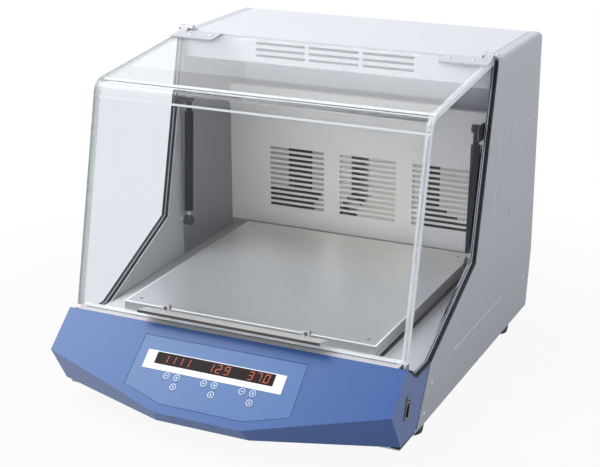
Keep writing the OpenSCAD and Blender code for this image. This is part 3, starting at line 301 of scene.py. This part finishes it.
def table_steel():
    r = Recipe("table_steel")
    rim_w, top_band, foot_band, skin, fade = 0.0022, 0.0012, 0.0016, 0.0006, 0.20
    x, y, z = (r.along(axis) for axis in range(3))
    lines, clouds = r.noise(60.0, 4.0, (0.6, 40, 40)), r.noise(6.0, 2.0)
    steel = r.tint((0.44, 0.455, 0.47), (0.53, 0.545, 0.56), lines * 0.6 + clouds * 0.4)
    # painted reflection: the far half is tinted warm, as from the rear wall
    steel = r.tint(steel, (0.72, 0.68, 0.62), r.ramp(y, 0.0, table_high[1]) * 0.8)
    middle_x = (table_low[0] + table_high[0]) / 2
    inward = r.ramp(y, table_low[1], table_low[1] + fade)
    # painted shade: the apron's right face darkens toward the rear
    steel = r.tint(steel, (0.20, 0.20, 0.20), (x > table_high[0] - skin) * inward)
    # painted highlight: bright rim and apron foot, fading toward the rear
    rim_highlight = ((x - middle_x).size() > table_high[0] - middle_x - rim_w) * (1 - inward * 0.8)
    rim_highlight = rim_highlight.larger(y < table_low[1] + rim_w) * (z > table_high[2] - top_band)
    painted_edge_highlight = rim_highlight.larger((z < table_low[2] + foot_band) * (1 - inward))
    body = r.tint(steel, (0.90, 0.91, 0.92), painted_edge_highlight)
    return r.coat(body, 0.30, lines, 0.16, 0.00002, Metallic=(1 - painted_edge_highlight) * 0.6)


def deck_coat():
    r = Recipe("deck_coat")
    beside, in_front, fade = 0.0045, 0.002, 0.30
    x, y = r.along(0), r.along(1)
    clouds, skin = r.noise(5.0, 3.0), r.noise(620.0, 2.0)
    half_x, half_y = ((table_high[axis] - table_low[axis]) / 2 for axis in (0, 1))
    middle_x, middle_y = ((table_high[axis] + table_low[axis]) / 2 for axis in (0, 1))
    # painted shadow: near black under the table and a little beside it
    painted_table_shadow = ((x - middle_x).size() < half_x + beside) * ((y - middle_y).size() < half_y - in_front)
    paint = r.tint((0.535, 0.535, 0.545), (0.56, 0.56, 0.57), clouds)
    # painted shade: the deck darkens toward the rear
    paint = r.tint(paint, (0.33, 0.33, 0.34), r.ramp(y, table_low[1], table_low[1] + fade))
    return r.coat(r.tint(paint, (0.012, 0.012, 0.013), painted_table_shadow), 0.38, skin, 0.12, 0.00001)


dress(table_steel(), "table_plate")
dress(deck_coat(), "chamber_floor")

# %% [markdown]
# ## The drive, the air and the electrics
# These stand inside and below. Castings are a little coarse, turned parts have
# fine rings about their axis, the motors are lacquered black and the board is
# the usual green.

# %% Inner finishes
turned_names = ["drive_shaft", "shaft_bearings", "idler_crank_1", "idler_crank_2", "idler_crank_3"]
dress(moulded("cast_alloy", (0.55, 0.56, 0.58), 0.5, 500, 0.00006), "bearing_housings", "table_carrier")
dress(brushed("turned_steel", (0.62, 0.63, 0.66), (30, 30, 1), 0.3), *turned_names)
pulley_alloy = brushed("pulley_alloy", (0.75, 0.76, 0.78), (20, 20, 2), 0.34)
dress(pulley_alloy, "drive_pulley", "motor_pulley", "fan_impeller")
dress(moulded("motor_lacquer", (0.045, 0.045, 0.05), 0.4, 700), "drive_motor", "fan_motor")
dress(moulded("belt_rubber", (0.02, 0.02, 0.02), 0.7, 1200), "drive_belt")
dress(brushed("heater_steel", (0.42, 0.33, 0.27), (3, 3, 3), 0.4), "heater_coil")
dress(moulded("board_green", (0.04, 0.18, 0.09), 0.45, 300), "control_board")

# %% [markdown]
# ## The grip rail
# A folded rail of anodised sheet, screwed to the hood near its lower edge. Its
# lip, the only face that points at the user, is painted nearly black as painted
# shade, and is the darkest line of the front.
# The lip is found by measuring outward and upward along the leaning sheet.

# %% Grip rail finish
hood_foot, hood_knee = Vector((-0.2535, 0.1436)), Vector((-0.1715, 0.4930))
lean = math.atan2(hood_knee.x - hood_foot.x, hood_knee.y - hood_foot.y)


def grip_rail():
    r = Recipe("grip_rail")
    lip_out, lip_high = 0.0279, 0.0148
    lines = r.noise(60.0, 4.0, (0.5, 40, 40))
    y, z = r.along(1), r.along(2)
    outward = y * math.cos(lean) - z * math.sin(lean)
    upward = y * math.sin(lean) + z * math.cos(lean)
    foot_out = hood_foot.x * math.cos(lean) - hood_foot.y * math.sin(lean)
    foot_up = hood_foot.x * math.sin(lean) + hood_foot.y * math.cos(lean)
    lip = (outward < foot_out - lip_out) * (upward < foot_up + lip_high)
    alloy = r.tint((0.55, 0.54, 0.53), (0.64, 0.63, 0.62), lines)
    # painted shade: the lip's face is painted nearly black
    body = r.tint(alloy, (0.075, 0.06, 0.055), lip)
    return r.surface(r.shader(body, 0.32 + lines * 0.08, Metallic=0.35, Normal=r.bumps(lines, 0.00001)))


dress(grip_rail(), "hood_handle")

# %% [markdown]
# ## Rubber, struts and small metal
# The seal is a soft black rubber on a paler carrier strip that shows as one
# thin line. The feet are matte black. The struts have lacquered black cylinders
# and ground rods, each rod ending in a black moulded eye, and the hinges are
# anodised. The screws are zinc plated, and those in front of the grip are darker.

# %% Small part finishes
def seal_strip():
    r = Recipe("seal_strip")
    inner, outer = 0.2822, 0.2842
    skin, clouds, off_middle = r.noise(1100.0, 1.0), r.noise(9.0, 2.0), r.along(0).size()
    carrier = (off_middle < outer) * (off_middle > inner)
    rubber = r.tint((0.008, 0.009, 0.015), (0.012, 0.013, 0.02), clouds)
    strip = r.tint((0.30, 0.31, 0.34), (0.37, 0.38, 0.41), clouds)
    return r.coat(r.tint(rubber, strip, carrier), 0.55, skin, 0.14, 0.00003, Specular_IOR_Level=0.2)


def strut_rod():
    r = Recipe("strut_rod")
    eye_h = 0.020
    lines = r.noise(60.0, 4.0, (30, 30, 1))
    eye = r.along(2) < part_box("left_strut_rod")[0][2] + eye_h
    ground = r.tint((0.46, 0.46, 0.49), (0.58, 0.58, 0.61), lines)
    body = r.tint(ground, (0.02, 0.022, 0.035), eye)
    shine = (1 - eye) * 0.9
    return r.surface(r.shader(body, 0.24 + lines * 0.1, Metallic=shine, Normal=r.bumps(lines, 0.000006)))


def screw_zinc():
    r = Recipe("screw_zinc")
    behind_grip = -0.2
    lines = r.noise(60.0, 4.0, (10, 10, 10))
    on_grip = r.along(1) < behind_grip
    zinc = r.tint((0.67, 0.67, 0.69), (0.78, 0.78, 0.80), lines)
    # the screws in front of the grip line are darker
    body = r.tint(zinc, (0.16, 0.16, 0.165), on_grip)
    return r.surface(r.shader(body, 0.28 + lines * 0.1, Metallic=1 - on_grip * 0.6))


strut_lacquer = moulded("strut_lacquer", (0.005, 0.006, 0.018), 0.36, 800, 0.00001, gloss=0.08)
hinge_alloy = brushed("hinge_alloy", (0.60, 0.615, 0.655), (20, 2, 20), 0.34, 0.35)
dress(seal_strip(), "hood_seals")
dress(moulded("foot_rubber", (0.03, 0.03, 0.032), 0.75, 900), "rubber_feet")
dress(strut_lacquer, "left_strut_cylinder", "right_strut_cylinder")
dress(strut_rod(), "left_strut_rod", "right_strut_rod")
dress(brushed("bracket_steel", (0.09, 0.09, 0.10), (2, 20, 20), 0.45), "strut_brackets")
dress(hinge_alloy, "hinge_blocks", "hinge_leaves")
dress(screw_zinc(), "hood_screws", "housing_screws")
dress(moulded("inlet_plastic", (0.02, 0.02, 0.022), 0.45), "mains_inlet")

# %% [markdown]
# ## The console
# Moulded in one blue, with a film keypad let in flush. The film is a touch
# smoother and paler than the moulding, which is what makes it stand out. The
# blue is painted paler toward the left, a painted sheen of the soft lamp there,
# so one ramp from left to right carries both of its ends.

# %% Console finishes
def blue(name, left, right_hand, roughness, grain, depth):
    r = Recipe(name)
    skin, clouds = r.noise(grain, 1.0), r.noise(9.0, 2.0)
    half_w = 0.29
    # painted sheen: the blue pales from right to left
    body = r.tint(left, right_hand, r.ramp(r.along(0), -half_w, half_w) * 0.9 + clouds * 0.1)
    return r.coat(body, roughness, skin, 0.14, depth, Specular_IOR_Level=0.3)


keys = [name for name in nodes if name.endswith("_key")]
console_blue = blue("console_blue", (0.084, 0.162, 0.375), (0.032, 0.100, 0.325), 0.36, 900, 0.00002)
keypad_film = blue("keypad_film", (0.115, 0.205, 0.40), (0.062, 0.155, 0.40), 0.33, 1500, 0.000008)
key_film = blue("key_film", (0.125, 0.218, 0.42), (0.070, 0.168, 0.42), 0.33, 1500, 0.000008)
surround_white = moulded("surround_white", (0.86, 0.87, 0.89), 0.34, 1500, 0.000008, 0.98)
window_smoke = moulded("window_smoke", (0.012, 0.005, 0.005), 0.24, 1500, 0.000002, 0.9, 0.08)
dress(console_blue, "console_casing")
dress(keypad_film, "keypad_panel")
dress(key_film, *keys)
dress(surround_white, "display_frame")
dress(window_smoke, "display_window")
dress(moulded("switch_black", (0.016, 0.016, 0.018), 0.3, 1200), "switch_housing", "switch_rocker")

# %% [markdown]
# ## The clear hood
# Cast acrylic is nearly invisible where it is flat. Its sawn edges and both
# lines of the heat bend are painted milky pale as a painted highlight, the left
# edge is painted grey as painted shade, and a faint painted reflection lies over
# the top. The recipe finds those places by object coordinates: the bend's two
# lines come from the hood's own corner points. Lamps are let straight through,
# since tracing their light through a bent sheet needs many samples.

# %% Where the hood bends
hood_rear = Vector(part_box("hood_shell")[1][1:])
up_front = (hood_knee - hood_foot).normalized()
along_top = (hood_rear - hood_knee).normalized()
bend_r, heat_spread, upper_shift, upper_drop = 0.025, 0.006, 0.003, 0.0004
reach = bend_r * math.tan(up_front.angle(along_top) / 2)
upper_line = hood_knee + along_top * (reach - upper_shift) - up_front * upper_drop
lower_line = hood_knee - up_front * (reach + heat_spread)
half_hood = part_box("hood_shell")[1][0]
print("bend lines at", [[round(v, 4) for v in line] for line in (upper_line, lower_line)])

# %% Clear acrylic
def clear_sheet(name, ior, tone):
    r = Recipe(name)
    through = r.node("ShaderNodeBsdfTransparent", {"Color": (0.95, 0.965, 0.97, 1)})
    lamp_ray = r.node("ShaderNodeLightPath", out="Is Shadow Ray")
    clear = r.shader(tone, 0.0, Transmission_Weight=1.0, IOR=ior)
    return r, clear, lamp_ray, through


def flat_sheet():
    r, clear, lamp_ray, through = clear_sheet("flat_acrylic", 1.05, (0.80, 0.82, 0.86))
    return r.surface(r.blend(lamp_ray, clear, through))


def bent_sheet():
    r, clear, lamp_ray, through = clear_sheet("bent_acrylic", 1.28, (0.965, 0.975, 0.985))
    sheet_t, line_w, sawn_h, left_w = 0.008, 0.0008, 0.003, 0.01
    x, y, z = (r.along(axis) for axis in range(3))
    streaks = r.noise(30.0, 2.0, (1, 8, 8))
    # painted highlight: the pale tone of the edges and bend lines
    highlight_tone = r.tint((0.78, 0.83, 0.88), (0.90, 0.935, 0.97), streaks)
    # painted shade: the grey tone of the left edge
    shaded = r.tint((0.30, 0.34, 0.33), (0.50, 0.55, 0.54), streaks)
    painted_light_and_shade = r.shader(r.tint(highlight_tone, shaded, x < left_w - half_hood), 0.25)
    edge = half_hood - x.size()
    inner_line = (edge > sheet_t - line_w) * (edge < sheet_t + line_w)
    share = ((edge < line_w) * 0.85).larger((edge < sheet_t) * 0.22).larger(inner_line * 0.6)
    share = share.larger((edge < sheet_t) * (x < 0.0) * 0.5)
    share = share.larger((z < hood_foot.y + sawn_h) * 0.6)
    # painted reflection: a faint haze over the bend and the top
    share = share.larger((z > lower_line.y) * 0.01).larger((z > upper_line.y) * 0.085)
    # painted highlight along both bend lines
    for line, width, most in ((upper_line, 0.0040, 0.8), (lower_line, 0.0018, 0.85)):
        offset = r.node("ShaderNodeCombineXYZ", {1: y - line.x, 2: z - line.y})
        away = r.node("ShaderNodeVectorMath", {0: offset}, out="Value", operation="LENGTH")
        share = share.larger((away < width) * most)
    return r.surface(r.blend(lamp_ray, r.blend(share, clear, painted_light_and_shade), through))


dress(bent_sheet(), "hood_shell")
dress(flat_sheet(), "hood_left_side", "hood_right_side")

# %% [markdown]
# ## Printed rings on the keys
# Each key carries a thin white ring with a mark: a bar for less, a cross for
# more, and an upright for start. On the real film these are screen printed, a
# layer far thinner than a hair. Here each is a very flat piece instead, so that
# it moves with its key. A ring is a small section spun round the key's axis.

# %% The slope and helpers for new pieces
sill = Vector((0.0, -0.266, 0.142))
slope_rise, slope_run = 0.093, 0.109
on_slope = Matrix.Translation(sill) @ Matrix.Rotation(math.atan2(slope_rise, slope_run), 4, "X")


def make_piece(name, shape, finish, body="housing", place=None):
    if place is not None:
        bmesh.ops.transform(shape, matrix=place, verts=shape.verts)
    bmesh.ops.recalc_face_normals(shape, faces=shape.faces)
    mesh = bpy.data.meshes.new(name)
    shape.to_mesh(mesh)
    shape.free()
    for face in mesh.polygons:
        face.use_smooth = False
    mesh.materials.append(finish)
    obj = bpy.data.objects.new(name, mesh)
    bpy.context.collection.objects.link(obj)
    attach(obj, body)


def add_block(shape, low, high):
    size = [b - a for a, b in zip(low, high)]
    middle = [(a + b) / 2 for a, b in zip(low, high)]
    place = Matrix.Translation(middle) @ Matrix.Diagonal((*size, 1))
    return bmesh.ops.create_cube(shape, size=1.0, matrix=place)["verts"]


def add_ring(shape, x, y, z, inner, outer, thick):
    corners = [(inner, z), (outer, z), (outer, z + thick), (inner, z + thick)]
    loop = [shape.verts.new((x + r, y, h)) for r, h in corners]
    edges = [shape.edges.new((loop[i], loop[(i + 1) % 4])) for i in range(4)]
    turn = {"cent": (x, y, 0), "axis": (0, 0, 1), "angle": 2 * math.pi, "steps": 32}
    bmesh.ops.spin(shape, geom=loop + edges, use_merge=True, **turn)


# %% Marks
ink = moulded("white_ink", (0.84, 0.86, 0.9), 0.4, 1500, 0.000004, 0.97)
mm = 0.001
key_top, ink_half = 0.62 * mm, 0.05 * mm
ring_inner, ring_outer = 4.5 * mm, 5.35 * mm
bar_half, bar_long, upright_half = 0.45 * mm, 2 * mm, 0.7 * mm
keypad_x, group_step = 6, 64.5
groups = {"time": -1, "speed": 0, "heat": 1}
spots = {"down": (-18, -82.4), "up": (0, -82.4), "start": (0, -98)}


def add_bar(shape, x, y, half_x, half_y, lift=0.0):
    low, high = key_top - ink_half + lift, key_top + ink_half + lift
    add_block(shape, (x - half_x, y - half_y, low), (x + half_x, y + half_y, high))


for group, column in groups.items():
    for kind, (dx, dy) in spots.items():
        mark = bmesh.new()
        x, y = (keypad_x + column * group_step + dx) * mm, dy * mm
        add_ring(mark, x, y, key_top - ink_half, ring_inner, ring_outer, 2 * ink_half)
        if kind == "start":
            add_bar(mark, x, y, upright_half, bar_long)
        else:
            add_bar(mark, x, y, bar_long, bar_half)
        if kind == "up":
            add_bar(mark, x, y, bar_half, bar_long, 0.01 * mm)
        make_piece(f"{group}_{kind}_mark", mark, ink, f"{group}_{kind}_button", on_slope)
print("marks on", len(spots) * len(groups), "keys")

# %% [markdown]
# ## Numerals behind the smoked window
# Seven bars make any figure, and a slight lean to the right makes them look
# like a real display. The window is nearly black, so the lit bars are laid just
# proud of it and glow a warm red-orange, and unlit ones are left out.

# %% Numerals
def glow(name, colour, strength):
    r = Recipe(name)
    body = r.tint(tuple(c * 0.8 for c in colour), colour, r.noise(2500.0, 1.0))
    return r.surface(r.shader(body, 0.4, Emission_Color=(*colour, 1), Emission_Strength=strength))


BARS = {"a": (0, 1, 0), "b": (1, 0.5, 1), "c": (1, -0.5, 1), "d": (0, -1, 0),
        "e": (-1, -0.5, 1), "f": (-1, 0.5, 1), "g": (0, 0, 0)}
FIGURES = {"1": "bc", "2": "abged", "3": "abgcd", "9": "abcdfg", "7": "abc", "0": "abcdef"}
figure_w, figure_h, figure_y = 7.2 * mm, 13 * mm, -55.5 * mm
window_z, bar_t, bar_thick, joint = 0.4 * mm, 0.95 * mm, 0.12 * mm, 0.45


def add_figure(shape, figure, x):
    lean_right = Matrix.Identity(4)
    lean_right[0][1] = 0.1
    made = []
    for bar in FIGURES[figure]:
        cx, cy, tall = BARS[bar]
        px, py = cx * figure_w / 2, cy * figure_h / 2
        long_half = (figure_h / 4 if tall else figure_w / 2) - bar_t * joint
        half_x, half_y = (bar_t / 2, long_half) if tall else (long_half, bar_t / 2)
        made += add_block(shape, (px - half_x, py - half_y, 0), (px + half_x, py + half_y, bar_thick))
    place = Matrix.Translation((x, figure_y, window_z)) @ lean_right
    bmesh.ops.transform(shape, matrix=place, verts=made)


numerals = bmesh.new()
readings = [("1111", -88.5, 12.6), ("129", -11, 14.0), ("370", 57, 13.4)]
for text, left, step in readings:
    for i, figure in enumerate(text):
        add_figure(numerals, figure, (left + i * step) * mm)
point_x, point_y, point_w = (57 + 1.48 * 13.4) * mm, -62.4 * mm, 1.2 * mm
point_top = (point_x + point_w, point_y + point_w, window_z + bar_thick)
add_block(numerals, (point_x, point_y, window_z), point_top)
numeral_glow = glow("numeral_glow", (0.62, 0.085, 0.03), 0.34)
make_piece("numerals", numerals, numeral_glow, place=on_slope)
print("numerals", [r[0] for r in readings])

# %% [markdown]
# ## Air guides behind the louvres
# Through the slots one sees pale guide plates that stand a few millimetres
# behind the wall, and dark gaps between them where the air passes and the
# duct's painted shade shows. Each plate is a thin strip beside a gap, and each
# row of strips has its own gap, so the dark part steps aside further down. The
# plates of the first group are painted greyer, a painted shade. The keys are
# the groups' middles.

# %% Air guides
def guide_coat():
    r = Recipe("guide_coat")
    first_group = -0.07
    clouds, skin = r.noise(5.0, 3.0), r.noise(620.0, 2.0)
    plain = r.tint((0.67, 0.64, 0.575), (0.71, 0.68, 0.61), clouds)
    # painted shade: the first group's plates are painted greyer
    body = r.tint(plain, (0.46, 0.44, 0.405), r.along(0) < first_group)
    return r.coat(body, 0.5, skin, 0.12, 0.000006)


guide_y, guide_t, group_half, least_w = 0.2787, 0.001, 0.066, 0.002
guide_rows = [(0.2005, 0.290), (0.1905, 0.2005), (0.1805, 0.1905), (0.160, 0.1805)]
gaps = {
    -0.142: [(-0.161, -0.112), (-0.206, -0.094), (-0.206, -0.100), (-0.206, -0.108)],
    0.0: [(-0.033, 0.001), (-0.042, -0.004), (-0.050, -0.012), (-0.058, -0.022)],
    0.142: [(0.105, 0.135), (0.103, 0.150), (0.101, 0.170), (0.100, 0.190)],
}
guides = bmesh.new()
for middle, row_gaps in gaps.items():
    for (low, high), (gap_start, gap_end) in zip(guide_rows, row_gaps):
        for a, b in ((middle - group_half, gap_start), (gap_end, middle + group_half)):
            if b - a > least_w:
                add_block(guides, (a, guide_y, low), (b, guide_y + guide_t, high))
make_piece("air_guides", guides, guide_coat())
print("air guides behind", len(gaps), "louvre groups")

# %% [markdown]
# ## The studio
# One large floor sheet with plain soft lamps. The camera, mirrors and clear
# sheets see a white room, and what lights the machine is the lamps. The floor
# is a mid-grey paper to the light, so that little of it returns from below, and
# white to the eye, least so near the machine, where its soft shadow lies.

# %% Floor
floor_shape = bmesh.new()
bmesh.ops.create_grid(floor_shape, x_segments=1, y_segments=1, size=12.0)
floor_mesh = bpy.data.meshes.new("studio_floor")
floor_shape.to_mesh(floor_mesh)
floor_shape.free()
floor = bpy.data.objects.new("studio_floor", floor_mesh)
bpy.context.collection.objects.link(floor)
paper = Recipe("floor_paper")
shadow_start, shadow_end, near_white = 0.55, 1.0, 0.92
fibre = paper.noise(40.0, 3.0)
grey = paper.tint((0.43, 0.43, 0.43), (0.47, 0.47, 0.47), fibre)
sheet = paper.shader(grey, 0.9, Specular_IOR_Level=0.0)
bright = paper.node("ShaderNodeEmission", {"Color": (1, 1, 1, 1), "Strength": 1.0})
ray_kinds = ("Is Camera Ray", "Is Glossy Ray", "Is Transmission Ray")
camera_ray, mirror_ray, clear_ray = (paper.node("ShaderNodeLightPath", out=kind) for kind in ray_kinds)
seen = camera_ray.larger(mirror_ray).larger(clear_ray)
away = paper.node("ShaderNodeVectorMath", {0: paper.place}, out="Value", operation="LENGTH")
white = paper.ramp(away, shadow_start, shadow_end) * (1 - near_white) + near_white
floor_mesh.materials.append(paper.surface(paper.blend(seen * white, sheet, bright)))

# %% [markdown]
# ## Lamps and room
# A large soft box stands high on the left, a weaker one in front and another on
# the right, which keeps the side panel from going dark. Surfaces take their
# ambient light from a room that is darker toward the floor.

# %% Lamps
def lamp(name, place, size, watts):
    aim = Vector((0, 0, 0.2))
    data = bpy.data.lights.new(name, "AREA")
    data.shape = "RECTANGLE"
    data.size, data.size_y = size
    data.energy = watts
    obj = bpy.data.objects.new(name, data)
    turn = (Vector(place) - aim).to_track_quat("Z", "Y").to_matrix().to_4x4()
    obj.matrix_world = Matrix.Translation(place) @ turn
    bpy.context.collection.objects.link(obj)
    print("lamp", name, watts, "W")


lamp("top_box", (-1.7, -0.6, 2.3), (1.6, 2.0), 57)
lamp("front_box", (-1.2, -2.6, 1.9), (1.8, 1.6), 7)
lamp("right_box", (2.8, -1.0, 1.4), (1.6, 1.6), 5)

# %% Room
room = bpy.data.worlds.new("studio_room")
bpy.context.scene.world = room
room.use_nodes = True
tree = room.node_tree
tree.nodes.clear()
link = tree.links.new
paths = tree.nodes.new("ShaderNodeLightPath")
not_diffuse = tree.nodes.new("ShaderNodeMath")
not_diffuse.operation = "SUBTRACT"
not_diffuse.inputs[0].default_value = 1.0
height = tree.nodes.new("ShaderNodeSeparateXYZ")
sky, shade = (tree.nodes.new("ShaderNodeMix") for _ in range(2))
sky.data_type = shade.data_type = "RGBA"
sky.inputs[6].default_value = (0.36, 0.37, 0.39, 1)
sky.inputs[7].default_value = (0.88, 0.90, 0.94, 1)
shade.inputs[7].default_value = (1, 1, 1, 1)
air = tree.nodes.new("ShaderNodeBackground")
link(paths.outputs["Is Diffuse Ray"], not_diffuse.inputs[1])
link(tree.nodes.new("ShaderNodeTexCoord").outputs["Generated"], height.inputs[0])
link(height.outputs["Z"], sky.inputs[0])
link(sky.outputs[2], shade.inputs[6])
link(not_diffuse.outputs[0], shade.inputs[0])
link(shade.outputs[2], air.inputs["Color"])
link(air.outputs[0], tree.nodes.new("ShaderNodeOutputWorld").inputs["Surface"])
